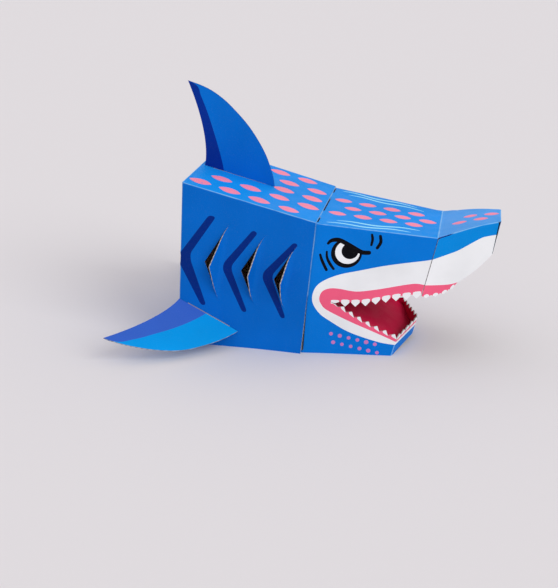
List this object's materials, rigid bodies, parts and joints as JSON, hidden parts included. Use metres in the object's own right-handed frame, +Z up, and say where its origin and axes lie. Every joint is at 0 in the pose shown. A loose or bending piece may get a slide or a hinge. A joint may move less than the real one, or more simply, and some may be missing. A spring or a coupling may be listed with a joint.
{
  "type": "shark head mask of folded card",
  "caption": "Box-shaped shark head mask of folded printed card, open below, with toothed mouth, gill flaps, dorsal fin and side fins.",
  "frame": {"origin": "on the surface that the rim stands on, under the middle of the whole mask's box", "axes": "+Z up, the nose points to -Y, the wearer's right hand is at -X"},
  "size_m": [0.4742, 0.5246, 0.3627],
  "materials": {
    "printed_card_blue": "satin print on card, darker blue",
    "printed_card_face": "satin print on card, blue over white with pink gums",
    "printed_card_crimson": "satin print on card, crimson",
    "printed_card_fin": "satin print on card, navy and sky blue"
  },
  "bodies": {
    "root": {"head_shell": "printed_card_blue", "face_shell": "printed_card_face", "mouth_lining": "printed_card_crimson", "dorsal_fin": "printed_card_fin", "pectoral_fin_right": "printed_card_fin", "pectoral_fin_left": "printed_card_fin"}
  },
  "joints": []
}
